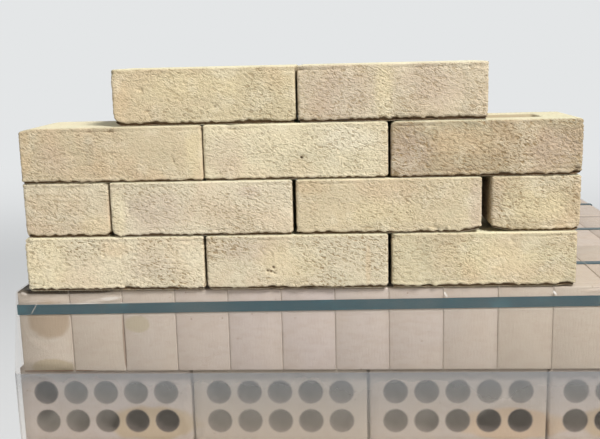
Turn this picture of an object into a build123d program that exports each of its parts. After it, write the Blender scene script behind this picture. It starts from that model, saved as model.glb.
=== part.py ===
from build123d import *
from math import atan2, degrees
import os

# A pack of perforated facing bricks, strapped and under a film hood, on a wooden pallet.
# A dry-laid sample panel of twelve frogged bricks stands on top, along the front edge.
# Millimetres. X to the right along the front, Y to the back, Z up.
# The origin is on the ground under the middle of the pallet.

# Packed brick, stood on edge, with round perforations from bed face to bed face
brick_length = 215.0
brick_width = 102.5
brick_height = 64.0
hole_diameter = 28.0
hole_columns = 5
hole_rows = 2
hole_pitch_along = 38.0
hole_pitch_across = 38.0
hole_sides = 12

# Pack: layers in blades, each blade one brick length deep
layer_count = 10
blade_count = 4
stretchers_per_row = 4
face_joint = 0.4
end_joint = 3.5
blade_joint = 1.0
edge_layer_setback = 9.8
perforated_layers = 2

# Straps
strap_width = 12.7
strap_thickness = 0.9
strap_slack = 0.1
strap_drop_left = 16.6
strap_drop_right = 10.0
blade_strap_setback = 112.0
weld_length = 38.0

# Film hood
film_thickness = 0.4
film_clearance = 0.3
film_corner = 4.0

# Pallet, four-way entry with nine blocks
pallet_margin = 25.0
deck_board_width = 100.0
deck_board_thickness = 18.0
deck_board_gap = 35.5
stringer_width = 100.0
stringer_thickness = 18.0
block_height = 78.0
bottom_board_width = 100.0
bottom_board_thickness = 18.0

# Sample panel of loose frogged bricks on top of the pack
panel_brick_length = 215.0
panel_brick_width = 102.5
panel_brick_height = 65.0
arris_wear = 2.4
frog_length = 137.0
frog_width = 50.0
frog_depth = 12.0
frog_draft = 7.0
bed_gap = 0.4
panel_inset = 16.5
panel_overhang = 5.0
panel_turn = 0.3

# Sizes worked out from the driving dimensions
brick_face_pitch = brick_height + face_joint
pack_width = stretchers_per_row * (brick_length + end_joint) - end_joint
pack_depth = blade_count * (brick_length + blade_joint) - blade_joint
edge_bricks_per_blade = int((pack_width - edge_layer_setback + face_joint) / brick_face_pitch)
rows_per_blade = int((brick_length + face_joint) / brick_face_pitch)
edge_layer_width = edge_bricks_per_blade * brick_face_pitch - face_joint
edge_layer_left = -pack_width / 2 + edge_layer_setback
edge_layer_right = edge_layer_left + edge_layer_width
edge_layer_middle = (edge_layer_left + edge_layer_right) / 2

deck_top = bottom_board_thickness + block_height + stringer_thickness + deck_board_thickness
pack_bottom = deck_top + strap_thickness + strap_slack
pack_top = pack_bottom + layer_count * brick_width
film_top = pack_top + strap_slack + strap_thickness + film_clearance + film_thickness

strap_room = strap_slack + 2 * strap_thickness
film_inner_width = pack_width + 2 * (strap_room + film_clearance)
film_inner_depth = pack_depth + 2 * (strap_room + film_clearance)

pallet_length = pack_width + 2 * pallet_margin
pallet_depth = pack_depth + 2 * pallet_margin

os.makedirs("parts", exist_ok=True)
written = []


def save(name, shape):
    """Write one named piece, or one set of loose like pieces, as its own STEP file."""
    export_step(shape, "parts/" + name + ".step")
    written.append(name)


def box_at(length, depth, height, x, y, z):
    """A box centred on x and y, standing on z."""
    return Pos(x, y, z + height / 2) * Box(length, depth, height)


def brick_facing_front(perforated):
    """A brick on edge along X, with its bed faces to the front and back."""
    face = Rectangle(brick_length, brick_width)
    if perforated:
        spots = GridLocations(hole_pitch_along, hole_pitch_across, hole_columns, hole_rows)
        face -= [spot * RegularPolygon(hole_diameter / 2, hole_sides) for spot in spots]
    return Rot(90, 0, 0) * extrude(face, brick_height / 2, both=True)


def brick_facing_side(perforated):
    """A brick on edge along Y, with its bed faces to the left and right."""
    return Rot(0, 0, 90) * brick_facing_front(perforated)


def in_row(count, pitch, index):
    """Place of one brick in a centred row."""
    return (index - (count - 1) / 2) * pitch


def edge_layer(bottom, perforated, whole):
    """Bricks on edge, header faces to the front. Only a whole layer has its inner bricks."""
    pieces = []
    plain = brick_facing_side(False)
    end = brick_facing_side(perforated)
    last = edge_bricks_per_blade - 1
    for blade in range(blade_count):
        y = in_row(blade_count, brick_length + blade_joint, blade)
        outer_blade = blade in (0, blade_count - 1)
        for index in range(edge_bricks_per_blade):
            at_end = index in (0, last)
            if at_end or outer_blade or whole:
                x = edge_layer_middle + in_row(edge_bricks_per_blade, brick_face_pitch, index)
                pieces.append(Pos(x, y, bottom + brick_width / 2) * (end if at_end else plain))
        if not outer_blade and not whole:
            core_length = (last - 1) * brick_face_pitch - face_joint
            pieces.append(box_at(core_length, brick_length, brick_width, edge_layer_middle, y, bottom))
    return pieces


def stretcher_layer(bottom, perforated):
    """Bricks on edge, bed faces to the front, in rows that are close together in each blade."""
    pieces = []
    plain = brick_facing_front(False)
    holed = brick_facing_front(perforated)
    end_pitch = brick_length + end_joint
    last_column = stretchers_per_row - 1
    core_length = (last_column - 1) * end_pitch - end_joint
    for blade in range(blade_count):
        blade_y = in_row(blade_count, brick_length + blade_joint, blade)
        core_rows = []
        for row in range(rows_per_blade):
            y = blade_y + in_row(rows_per_blade, brick_face_pitch, row)
            at_front = blade == 0 and row == 0
            at_back = blade == blade_count - 1 and row == rows_per_blade - 1
            outer_row = at_front or at_back
            if not outer_row:
                core_rows.append(y)
            for column in range(stretchers_per_row):
                if outer_row or column in (0, last_column):
                    x = in_row(stretchers_per_row, end_pitch, column)
                    brick = holed if outer_row else plain
                    pieces.append(Pos(x, y, bottom + brick_width / 2) * brick)
        core_depth = core_rows[-1] - core_rows[0] + brick_height
        core_y = (core_rows[0] + core_rows[-1]) / 2
        pieces.append(box_at(core_length, core_depth, brick_width, 0, core_y, bottom))
    return pieces


def build_pack():
    """The layers alternate, with header faces outwards at the top."""
    for layer in range(layer_count):
        bottom = pack_bottom + layer * brick_width
        from_top = layer_count - 1 - layer
        perforated = from_top < perforated_layers
        if from_top % 2 == 0:
            pieces = edge_layer(bottom, perforated, from_top == 0)
        else:
            pieces = stretcher_layer(bottom, perforated)
        save(f"pack_layer_{layer + 1:02d}", Compound(children=pieces))


def strap_round(outline):
    """A strap pulled round a flat outline, centred on its own width."""
    ring = offset(outline, strap_thickness, kind=Kind.INTERSECTION) - outline
    return extrude(ring, strap_width / 2, both=True)


def build_top_strap():
    """One strap lies round the top layer, lower at the left, with its friction weld at the back."""
    outline = Rectangle(edge_layer_width + 2 * strap_slack, pack_depth + 2 * strap_slack)
    ring = offset(outline, strap_thickness, kind=Kind.INTERSECTION) - outline
    weld_y = pack_depth / 2 + strap_slack + 1.5 * strap_thickness
    ring += Pos(0, weld_y, 0) * Rectangle(weld_length, strap_thickness)
    slope = degrees(atan2(strap_drop_left - strap_drop_right, edge_layer_width))
    band = Rot(0, -slope, 0) * Box(2 * pack_width, 2 * pack_depth, strap_width)
    strap = extrude(ring, strap_width, both=True) & band
    strap_middle = pack_top - (strap_drop_left + strap_drop_right + strap_width) / 2
    save("strap_round_top_layer", Pos(edge_layer_middle, 0, strap_middle) * strap)


def build_blade_straps():
    """One strap stands round each blade and leans in to the narrower top layer."""
    side = pack_width / 2 + strap_slack
    bottom = pack_bottom - strap_slack
    shoulder = pack_top - brick_width
    top = pack_top + strap_slack
    corners = [
        (-side, bottom),
        (side, bottom),
        (side, shoulder),
        (edge_layer_right + strap_slack, top),
        (edge_layer_left - strap_slack, top),
        (-side, shoulder),
    ]
    strap = Rot(90, 0, 0) * strap_round(make_face(Polyline(*corners, close=True)))
    weld_x = -side - 1.5 * strap_thickness
    weld_z = (pack_bottom + pack_top) / 2
    strap += Pos(weld_x, 0, weld_z) * Box(strap_thickness, strap_width, weld_length)
    for blade in range(blade_count):
        front = in_row(blade_count, brick_length + blade_joint, blade) - brick_length / 2
        save(f"blade_strap_{blade + 1}", Pos(0, front + blade_strap_setback, 0) * strap)


def build_film():
    """The hood: a thin box, open below, with its hem on the deck of the pallet."""
    height = film_top - deck_top
    outer_width = film_inner_width + 2 * film_thickness
    outer_depth = film_inner_depth + 2 * film_thickness
    hood = extrude(RectangleRounded(outer_width, outer_depth, film_corner + film_thickness), height)
    hollow = RectangleRounded(film_inner_width, film_inner_depth, film_corner)
    hood -= extrude(hollow, height - film_thickness)
    save("film_hood", Pos(0, 0, deck_top) * hood)


def build_pallet():
    """Deck boards along X on stringers along Y, nine blocks, and bottom boards along X."""
    block_bottom = bottom_board_thickness
    stringer_bottom = block_bottom + block_height
    deck_bottom = stringer_bottom + stringer_thickness

    deck_count = round((pallet_depth + deck_board_gap) / (deck_board_width + deck_board_gap))
    deck_pitch = (pallet_depth - deck_board_width) / (deck_count - 1)
    for index in range(deck_count):
        y = in_row(deck_count, deck_pitch, index)
        board = box_at(pallet_length, deck_board_width, deck_board_thickness, 0, y, deck_bottom)
        save(f"deck_board_{index + 1}", board)

    across = [side * (pallet_length - stringer_width) / 2 for side in (-1, 0, 1)]
    back = [side * (pallet_depth - bottom_board_width) / 2 for side in (-1, 0, 1)]
    for number, x in enumerate(across, 1):
        board = box_at(stringer_width, pallet_depth, stringer_thickness, x, 0, stringer_bottom)
        save(f"stringer_board_{number}", board)
    for number, y in enumerate(back, 1):
        board = box_at(pallet_length, bottom_board_width, bottom_board_thickness, 0, y, 0)
        save(f"bottom_board_{number}", board)
    for number, (y, x) in enumerate([(y, x) for y in back for x in across], 1):
        block = box_at(stringer_width, bottom_board_width, block_height, x, y, block_bottom)
        save(f"block_{number}", block)


def frogged_brick(length, frog_up):
    """A brick with worn upright arrises and a frog in one bed face, standing on z = 0."""
    outline = Rectangle(length, panel_brick_width)
    outline = chamfer(outline.vertices(), arris_wear)
    outline = chamfer(outline.vertices(), arris_wear / 3)
    body = extrude(outline, panel_brick_height)
    far_x = frog_length - frog_draft
    far_y = frog_width - frog_draft
    frog = Wedge(frog_length, frog_depth, frog_width, frog_draft, frog_draft, far_x, far_y)
    body -= Pos(0, 0, panel_brick_height - frog_depth / 2) * Rot(-90, 0, 0) * frog
    if not frog_up:
        body = Pos(0, 0, panel_brick_height) * Rot(180, 0, 0) * body
    return body


# Each course: where it starts, then its bricks from left to right.
# A brick is: its name, laid as stretcher or header, the open joint to its right,
# how far it is set back, its small turn in degrees, and how much longer it came from the kiln.
courses = [
    (0.5, [
        ("left", "stretcher", 2.9, -1.0, 0.1, 0.0),
        ("middle", "stretcher", 3.9, -2.0, -0.1, 0.0),
        ("right", "stretcher", 0.0, -1.5, 0.1, -0.5),
    ]),
    (3.6, [
        ("left_header", "header", 1.0, 0.5, -0.3, 0.0),
        ("left", "stretcher", 4.4, -1.5, 0.2, 0.0),
        ("right", "stretcher", 9.7, -1.5, -0.2, 0.0),
        ("right_header", "header", 0.0, 0.5, 0.5, 0.0),
    ]),
    (3.3, [
        ("left", "stretcher", 1.3, -1.0, 0.2, 0.5),
        ("middle", "stretcher", 2.6, -0.5, -0.1, -1.0),
        ("right", "stretcher", 0.0, -1.5, 0.2, 2.6),
    ]),
    (116.9, [
        ("left", "stretcher", 2.7, -0.5, 0.3, -3.4),
        ("right", "stretcher", 0.0, -1.0, -0.3, 0.8),
    ]),
]
frog_up_bricks = [(3, "right")]


def build_panel():
    """Lay the courses from a corner near the pack's front left edge, turned a little."""
    start = Pos(edge_layer_left + panel_inset, -pack_depth / 2 - panel_overhang, film_top)
    start = start * Rot(0, 0, panel_turn)
    for number, (start_x, bricks) in enumerate(courses, 1):
        x = start_x
        bottom = (number - 1) * (panel_brick_height + bed_gap)
        for name, way, gap, set_back, turn, longer in bricks:
            header = way == "header"
            length = panel_brick_length + longer
            face_length = panel_brick_width if header else length
            depth = length if header else panel_brick_width
            brick = frogged_brick(length, (number, name) in frog_up_bricks)
            if header:
                brick = Rot(0, 0, 90) * brick
            place = Pos(x + face_length / 2, set_back + depth / 2, bottom) * Rot(0, 0, turn)
            save(f"course_{number}_{name}", start * place * brick)
            x += face_length + gap


build_pallet()
build_pack()
build_top_strap()
build_blade_straps()
build_film()
build_panel()
print(len(written), "pieces written")
print(f"pack {pack_width:.1f} x {pack_depth:.1f}, from {pack_bottom:.1f} to {pack_top:.1f}")
print(f"top layer from {edge_layer_left:.1f} to {edge_layer_right:.1f}, film top {film_top:.1f}")
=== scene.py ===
# %% [markdown]
# A pack of perforated facing bricks on a wooden pallet, strapped and under a film hood.
# Twelve frogged bricks are laid dry on top, as a sample panel.
# The imported model gives every piece its size and place. This lesson dresses those pieces.
# The frame is loaded first.
# The noise gets a fixed seed: without one it starts from the clock, and no two runs are alike.

# %% Load the frame
import math

import bmesh
import bpy
from mathutils import Euler, Matrix, Vector, noise


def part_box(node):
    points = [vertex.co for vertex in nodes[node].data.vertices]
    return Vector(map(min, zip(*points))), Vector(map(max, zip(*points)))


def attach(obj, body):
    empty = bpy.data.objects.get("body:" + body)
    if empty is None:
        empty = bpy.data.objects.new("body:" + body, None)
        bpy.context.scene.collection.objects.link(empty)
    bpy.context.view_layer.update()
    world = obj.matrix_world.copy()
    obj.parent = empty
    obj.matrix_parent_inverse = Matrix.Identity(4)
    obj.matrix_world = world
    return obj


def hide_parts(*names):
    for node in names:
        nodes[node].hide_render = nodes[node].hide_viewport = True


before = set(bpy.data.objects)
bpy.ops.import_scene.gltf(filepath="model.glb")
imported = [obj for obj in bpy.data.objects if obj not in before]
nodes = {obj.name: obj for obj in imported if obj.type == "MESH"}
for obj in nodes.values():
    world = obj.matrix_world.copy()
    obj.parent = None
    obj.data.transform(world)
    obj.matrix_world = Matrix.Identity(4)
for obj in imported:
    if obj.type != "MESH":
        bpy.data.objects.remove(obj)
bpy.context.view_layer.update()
MM = 0.001
noise.seed_set(1)

# %% [markdown]
# A few steps come back all through the lesson, so each is written once: linking an object,
# turning a bmesh into a mesh, picking points or edges out of what an operator returns, and
# two small sums.

# %% Helpers for objects, meshes and sums
def into_scene(name, data):
    """Make an object of a camera, a lamp or a mesh, and link it to the scene."""
    made = bpy.data.objects.new(name, data)
    bpy.context.scene.collection.objects.link(made)
    return made


def as_mesh(shape, name):
    """Turn a bmesh into a mesh, and free it."""
    mesh = bpy.data.meshes.new(name)
    shape.to_mesh(mesh)
    shape.free()
    return mesh


def verts_in(geometry):
    return [item for item in geometry if isinstance(item, bmesh.types.BMVert)]


def edges_in(geometry):
    return [item for item in geometry if isinstance(item, bmesh.types.BMEdge)]


def clamp(value):
    """The value, held between 0 and 1."""
    return min(max(value, 0.0), 1.0)


def waver(spot, middle, swing):
    """A number that wavers round its middle with the noise at a spot."""
    return middle + swing * noise.noise(spot)


# %% [markdown]
# The camera stands where the photographer stood: a little left of the middle, above the pack
# and looking down on it. Its place comes from matching the edges of the bricks to a view of
# the model, which gives a place, three angles and a focal length. Turning it by hand until it
# looks right would be quicker, but the joints would then miss their places by several pixels.

# %% Camera
image_width = 600
focal_pixels = 853.8
sensor_width = 36.0
camera_place = Vector((-23.4, -1415.0, 1431.5)) * MM
look_left = math.radians(3.21)
look_down = math.radians(10.865)
lean = math.radians(1.40)

camera_data = bpy.data.cameras.new("camera")
camera_data.sensor_width = sensor_width
camera_data.lens = focal_pixels / image_width * sensor_width
camera_data.clip_end = 50.0
camera = into_scene("camera", camera_data)
aim = Euler((math.pi / 2 - look_down, 0.0, look_left)).to_matrix() @ Matrix.Rotation(-lean, 3, "Z")
camera.matrix_world = Matrix.Translation(camera_place) @ aim.to_4x4()
bpy.context.scene.camera = camera
print("lens", round(camera_data.lens, 2), "mm")

# %% [markdown]
# Light from a wide soft box high on the right picks out the creases of the bricks, as low sun
# does, without hard black shadows. A second box on the left, a third behind and a pale sky
# fill the shade.

# %% Light and sky
pack_front = Vector((0.0, -0.43, 1.15))
lamps = {
    # the way from the pack to the lamp, its width in metres and its power in watts
    "key": (Vector((0.42, -0.45, 0.79)) * 4.2, 1.1, 250.0),
    "fill": (Vector((-0.66, -0.72, 0.18)) * 3.9, 2.2, 16.0),
    "back": (Vector((-0.35, 0.80, 0.50)) * 4.4, 1.6, 40.0),
}


def soft_box(name, way, width, watts):
    """A square area light that faces the front of the pack."""
    place = pack_front + way
    data = bpy.data.lights.new(name, "AREA")
    data.shape = "SQUARE"
    data.size = width
    data.energy = watts
    facing = (place - pack_front).to_track_quat("Z", "Y")
    into_scene(name, data).matrix_world = Matrix.Translation(place) @ facing.to_matrix().to_4x4()


for name, values in lamps.items():
    soft_box(name, *values)

world = bpy.data.worlds.new("sky")
bpy.context.scene.world = world
world.use_nodes = True
sky = world.node_tree.nodes["Background"]
sky.inputs["Color"].default_value = (0.90, 0.94, 1.0, 1.0)
sky.inputs["Strength"].default_value = 0.30
bpy.context.scene.view_settings.view_transform = "Standard"

# %% [markdown]
# A material here is a small sum. A socket wrapped in the class below can be added, taken away
# and multiplied like a number, and each sum adds the Math node that works it out. The other
# way is to link every node by hand, which takes five lines where one does, and hides the idea.

# %% A class for shader sums
class Wire:
    """One output socket of a material. Arithmetic on it adds Math nodes."""

    def __init__(self, tree, socket=None):
        self.tree = tree
        self.socket = socket

    def node(self, kind, settings=None, inputs=None, output=0):
        """Add a node, apply its settings, then fill or link its sockets."""
        made = self.tree.nodes.new("ShaderNode" + kind)
        for key, value in (settings or {}).items():
            setattr(made, key, value)
        for key, value in (inputs or {}).items():
            if isinstance(value, Wire):
                self.tree.links.new(value.socket, made.inputs[key])
            else:
                made.inputs[key].default_value = value
        return Wire(self.tree, made.outputs[output]) if made.outputs else None

    def maths(self, operation, *values):
        return self.node("Math", {"operation": operation}, dict(enumerate(values)))

    def __add__(self, other):
        return self.maths("ADD", self, other)

    def __sub__(self, other):
        return self.maths("SUBTRACT", self, other)

    def __rsub__(self, other):
        return self.maths("SUBTRACT", other, self)

    def __mul__(self, other):
        return self.maths("MULTIPLY", self, other)


# %% [markdown]
# The same few steps start every material: a pattern space fixed to the object, noise at some
# scale, a ramp that keeps a part of it, and coats of colour over each other. Each becomes a
# function. Colours are given as the screen shows them, because that is how they are judged.

# %% Steps that the materials share
def colour(red, green, blue):
    """A screen colour, 0 to 255, as the linear colour that a shader takes."""
    parts = []
    for value in (red, green, blue):
        share = value / 255
        parts.append(share / 12.92 if share <= 0.04045 else ((share + 0.055) / 1.055) ** 2.4)
    return (*parts, 1.0)


def new_material(name):
    """An empty material, and a wire to start its sums from."""
    material = bpy.data.materials.new(name)
    material.use_nodes = True
    material.node_tree.nodes.clear()
    return material, Wire(material.node_tree)


def object_place(wire):
    """Where a point lies in the object's own space, in metres."""
    return wire.node("TexCoord", output="Object")


def axis_of(place, axis):
    """The X, Y or Z of a place."""
    return place.node("SeparateXYZ", inputs={"Vector": place}, output=axis)


def pattern_space(wire, shift=(0.0, 0.0, 0.0), scale=(1.0, 1.0, 1.0)):
    """The object's own space, shifted so that like pieces differ."""
    inputs = {"Vector": object_place(wire), "Location": shift, "Scale": scale}
    return wire.node("Mapping", inputs=inputs)


def cloud(space, scale, detail=3.0, distortion=0.0):
    """Soft noise from about 0.2 to 0.8, scale features to the metre."""
    inputs = {"Vector": space, "Scale": scale, "Detail": detail, "Distortion": distortion}
    return space.node("TexNoise", inputs=inputs, output="Fac")


def step(value, low, high):
    """0 below low, 1 above high, smooth between."""
    settings = {"interpolation_type": "SMOOTHSTEP"}
    return value.node("MapRange", settings, {"Value": value, "From Min": low, "From Max": high})


def patches(space, scale, low, high, detail=3.0, distortion=0.0):
    """Soft noise, stretched so that it is 0 below low and 1 above high."""
    return step(cloud(space, scale, detail, distortion), low, high)


def mix_colour(mask, first, second):
    """first where the mask is 0, second where it is 1."""
    return mask.node("Mix", {"data_type": "RGBA"}, {0: mask, 6: first, 7: second}, output=2)


def coated(base, coats):
    """A colour with coats laid over it in turn, each of them a mask and a screen colour."""
    for mask, *screen in coats:
        base = mix_colour(mask, base, colour(*screen))
    return base


def kept(wire, name):
    """A number that was kept on the points of the mesh under that name."""
    return wire.node("Attribute", {"attribute_name": name}, output="Fac")


def bump(height, strength, distance):
    inputs = {"Height": height, "Strength": strength, "Distance": distance}
    return height.node("Bump", inputs=inputs, output="Normal")


def blot(place, x, height, half_width, half_height, slope=0, edge=0.35, rough=0.6):
    """1 inside an ellipse seen from the front, 0 outside. The place and the halves are in mm."""
    turn = math.radians(slope)
    away_x = x * MM * math.cos(turn) + height * MM * math.sin(turn)
    away_z = -x * MM * math.sin(turn) + height * MM * math.cos(turn)
    shares = (1 / (half_width * MM), 0.0, 1 / (half_height * MM))
    away = (-away_x * shares[0], 0.0, -away_z * shares[2])
    turned = place.node("Mapping", inputs={"Vector": place, "Rotation": (0.0, turn, 0.0)})
    spot = place.node("Mapping", inputs={"Vector": turned, "Scale": shares, "Location": away})
    ragged = cloud(place, 30.0, 2.0)
    middle = 1.0 + rough * 0.5
    distance = spot.node("VectorMath", {"operation": "LENGTH"}, {0: spot}, output="Value")
    return step(distance + ragged * rough, middle + edge, middle - edge)


def close_material(material, wire, tone, roughness, others):
    """Give the surface its shader and return the material."""
    inputs = {"Base Color": tone, "Roughness": roughness, **others}
    surface = wire.node("BsdfPrincipled", inputs=inputs)
    wire.node("OutputMaterial", inputs={"Surface": surface})
    return material


# %% [markdown]
# The floor is one plain pale sheet, left out of the pieces of the model. It bends up into a
# backdrop far behind. Light Path picks out the rays that come from the camera, also by way of
# something shiny or clear: the sheet glows pale for those alone, most of all far behind, so the
# ground is light and the bricks get no more light.

# %% Floor
floor_half_width = 9.0
backdrop_height = 6.0
backdrop_bend = 2.5
bend_steps = 16
least_glow = 0.35


def floor_finish():
    material, wire = new_material("floor")
    space = pattern_space(wire)
    tone = mix_colour(cloud(space, 0.8), colour(228, 227, 224), colour(236, 235, 233))
    matt = wire.node("BsdfDiffuse", inputs={"Color": tone})
    glow = wire.node("Emission", inputs={"Color": colour(228, 230, 231), "Strength": 1.0})
    seen = [wire.node("LightPath", output=f"Is {ray} Ray")
            for ray in ("Camera", "Glossy", "Transmission")]
    wall = step(axis_of(space, "Z") + axis_of(space, "Y") * 0.3, 0.7, 2.6)
    share = (seen[0] + seen[1] + seen[2]) * (wall * (1.0 - least_glow) + least_glow)
    mixed = wire.node("MixShader", inputs={0: share, 1: matt, 2: glow})
    wire.node("OutputMaterial", inputs={"Surface": mixed})
    return material


def make_floor():
    """A sheet on the ground that bends up into a backdrop behind the pallet."""
    sheet = bmesh.new()
    bmesh.ops.create_grid(sheet, x_segments=1, y_segments=1, size=floor_half_width)
    back = [edge for edge in sheet.edges if all(vert.co.y > 0 for vert in edge.verts)]
    raised = bmesh.ops.extrude_edge_only(sheet, edges=back)["geom"]
    bmesh.ops.translate(sheet, verts=verts_in(raised), vec=(0.0, 0.0, backdrop_height))
    corner = [edge for edge in sheet.edges
              if all(vert.co.y > 0 and vert.co.z < 0.01 for vert in edge.verts)]
    bmesh.ops.bevel(sheet, geom=corner, offset=backdrop_bend, segments=bend_steps, profile=0.5,
                    affect="EDGES", material=-1)
    mesh = as_mesh(sheet, "floor")
    mesh.materials.append(floor_finish())
    mesh.shade_smooth()
    into_scene("floor", mesh)


make_floor()

# %% [markdown]
# Every brick starts as a cube, cut by loops into a fine net whose points can be moved. The
# loops are cut one direction at a time, so the net stays square and even.
# A subdivision modifier could do it too, but it would round the whole brick.

# %% Nets and pieces
def cut_loops(shape, axis, cuts):
    """Split every edge that runs along one axis, which cuts loops across that axis."""
    if cuts < 1:
        return
    along = []
    for edge in shape.edges:
        run = edge.verts[1].co - edge.verts[0].co
        if abs(run[axis]) > 0.6 * run.length and abs(run[axis]) > 0.02:
            along.append(edge)
    bmesh.ops.subdivide_edges(shape, edges=along, cuts=cuts, use_grid_fill=True)


def soft_block(size, rounding, segments, nets=None):
    """A block of that size round the origin, with rounded edges, cut into nets of those steps."""
    shape = bmesh.new()
    bmesh.ops.create_cube(shape, size=1.0, matrix=Matrix.Diagonal((*size, 1.0)))
    bmesh.ops.bevel(shape, geom=shape.edges[:], offset=rounding, segments=segments, profile=0.5,
                    affect="EDGES", material=-1)
    for axis, net in enumerate(nets or ()):
        cut_loops(shape, axis, round((size[axis] - 2 * rounding) / net) - 1)
    return shape


def add_piece(name, shape, material, *replaced, slot=None):
    """Make an object of a bmesh, let it stand for CAD nodes, and let it ride with the rest."""
    shape.normal_update()
    mesh = as_mesh(shape, name)
    mesh.materials.append(material)
    mesh.shade_smooth()
    piece = into_scene(name, mesh)
    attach(piece, "root")
    if replaced:
        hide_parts(*replaced)
    return piece


# %% [markdown]
# A panel brick is moulded: its clay was thrown into a sanded box, and its skin folded into
# fine worm-like creases. The creases are the zero lines of warped noise, stretched along a
# slant, so the skin is low rounded folds with sharp little valleys between. They are real
# relief, because the light rakes over them. Finer ones are left to bump.
# Each bed edge has a lip that the mould's rim pressed up, and the lower one is broken back.

# %% Relief of a creased brick
crease_depth = 0.98 * MM
worm_length = 5.2 * MM
worm_height = 2.7 * MM
worm_slant = 0.36
worm_warp = 0.8
fold_sharpness = 0.75
lip_height = 0.75 * MM
lip_width = 1.8 * MM
groove_place = 5.0 * MM
groove_wander = 1.0 * MM
groove_depth = 1.1
groove_shade = 1.3
least_lip = 0.1
undercut_depth = 3.2 * MM
break_ramp = 1.2 * MM


def creases(point, seed):
    """Height of the folded skin at a point of one brick, about 0 on average."""
    slant = waver(point * 12 + seed, worm_slant, 0.5)
    level = point.x + point.y
    along = level * math.cos(slant) - point.z * math.sin(slant)
    across = level * math.sin(slant) + point.z * math.cos(slant)
    warp = noise.noise_vector(point * 60 + seed) * worm_warp
    strength = waver(point * 19 + seed, 0.85, 1.1)
    spot = Vector((along / worm_length, 0.0, across / worm_height)) + warp + seed
    fold = min(abs(noise.noise(spot)) * 2.4, 1.0) ** fold_sharpness - 0.6
    fine = noise.noise(spot * 2.1) * 0.3
    return min(max(strength, 0.25), 1.5) * (fold + fine) * 0.5


def broken_limit(name, point, seed):
    """How far up the lower edge is broken back at a point, with ragged ups and downs."""
    along = Vector((point.x, point.y, 0.0))
    limit = waver(along * 24 + seed, course_gap[name[:8]], 1.2) + 2.2 * noise.noise(along * 160 + seed)
    return max(limit, 0.3) * MM


def lip(point, half, seed, limit):
    """The raised rim along a bed edge, and how strong the groove beside it is."""
    from_bed = half.z - abs(point.z) - (limit if point.z < 0 else 0.0)
    edge = math.copysign(3.0, point.z)
    here = max(waver(Vector((point.x * 16, point.y * 16, edge)) + seed, 0.45, 1.1), least_lip)
    wander = groove_wander * noise.noise(Vector((point.x * 60, point.y * 60, 7.0)) + seed)
    rise = math.exp(-(((from_bed - lip_width) / lip_width) ** 2))
    groove = math.exp(-(((from_bed - groove_place - wander) / (0.6 * lip_width)) ** 2)) * here
    return here * rise - groove_depth * groove, groove


def eased(name, point, half):
    """Bend a bed edge towards the middle of the brick over a long curve near a corner."""
    for side, end, length, height in eased_corners.get(name, []):
        along = clamp((side * point.x - half.x) / (length * MM) + 1.0)
        up = clamp((end * point.z / half.z - 0.2) / 0.8)
        point.z -= end * height * MM * along * along * up
    return point


def rounder(first, second, reach_first, reach_second, radius):
    """Pull a pair of coordinates in, so that the corner between two faces has that radius."""
    over_first = abs(first) - (reach_first - radius)
    over_second = abs(second) - (reach_second - radius)
    distance = math.hypot(over_first, over_second)
    if over_first <= 0 or over_second <= 0 or distance <= radius:
        return first, second
    share = radius / distance
    return (math.copysign(reach_first - radius + over_first * share, first),
            math.copysign(reach_second - radius + over_second * share, second))


# %% [markdown]
# Some marks belong to one brick: a chipped corner, a crack, a pit. They are listed with the
# place on the brick's front face, how wide they are and how deep they go. The place is
# measured from the middle of the face, in millimetres. A few corners are rubbed off in a
# long curve, and each course has its own height of broken lower edge.
# The kiln's flame leaves stains of mauve, orange and straw, and they are listed the same way.

# %% Marks and stains of single bricks
course_gap = {"course_1": 2.7, "course_2": 2.5, "course_3": 2.1, "course_4": 3.3}
fold_strength = {
    "course_1_left": 1.75, "course_1_middle": 1.50, "course_1_right": 1.20,
    "course_2_left_header": 1.0, "course_2_left": 1.15, "course_2_right": 1.15,
    "course_2_right_header": 1.85, "course_3_left": 0.85, "course_3_middle": 1.0,
    "course_3_right": 2.10, "course_4_left": 1.15, "course_4_right": 1.10,
}
eased_corners = {
    # side, bed face up or down, length and height of the curve
    "course_1_middle": [(-1, -1, 7, 4.0)],
    "course_2_left": [(-1, -1, 7, 3.0)],
    "course_2_left_header": [(1, -1, 5, 2.4)],
    "course_2_right": [(1, -1, 34, 5.0)],
    "course_2_right_header": [(-1, -1, 40, 6.0), (1, -1, 9, 3.0)],
    "course_3_left": [(-1, 1, 24, 4.0)],
    "course_3_right": [(1, -1, 12, 3.5), (-1, 1, 7, 3.0), (1, 1, 7, 3.2)],
    "course_4_left": [(-1, -1, 12, 6.0)],
}
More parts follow.
